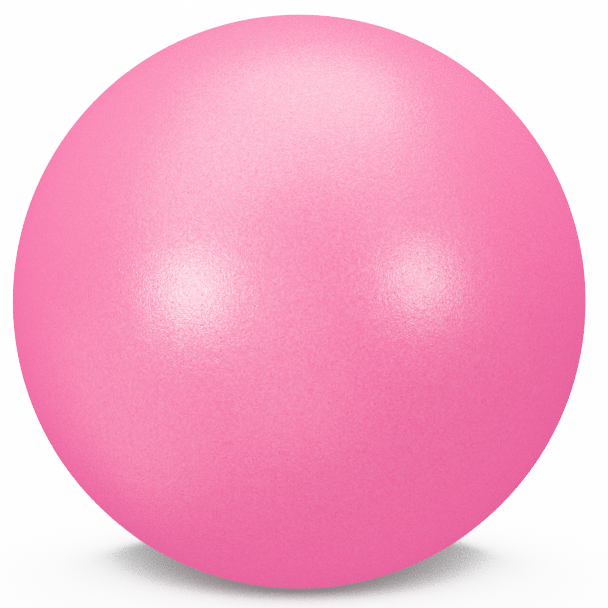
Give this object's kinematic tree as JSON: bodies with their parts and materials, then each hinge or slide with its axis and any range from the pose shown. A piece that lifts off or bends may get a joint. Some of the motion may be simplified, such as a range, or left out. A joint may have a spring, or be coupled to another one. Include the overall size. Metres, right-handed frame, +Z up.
{
  "type": "exercise ball",
  "caption": "Small soft inflatable exercise ball with a fine pebble-grained vinyl skin and a push-in plug valve in a round pocket.",
  "frame": {"origin": "the centre of the ball", "axes": "+Z up as the ball lies on a floor, +Y along the valve's axis and out of its mouth, at the back as the ball is seen, +X to the right"},
  "size_m": [0.2502, 0.25, 0.2502],
  "materials": {
    "skin_vinyl": "satin",
    "seat_vinyl": "satin",
    "plug_plastic": "satin"
  },
  "bodies": {
    "ball": {"ball_skin": "skin_vinyl", "valve_seat": "seat_vinyl"},
    "plug": {"valve_plug": "plug_plastic"}
  },
  "joints": [
    {"name": "plug_pull", "type": "slide", "parent": "ball", "child": "plug", "axis": [0, 1, 0], "range_m": [0, 0.022]}
  ]
}
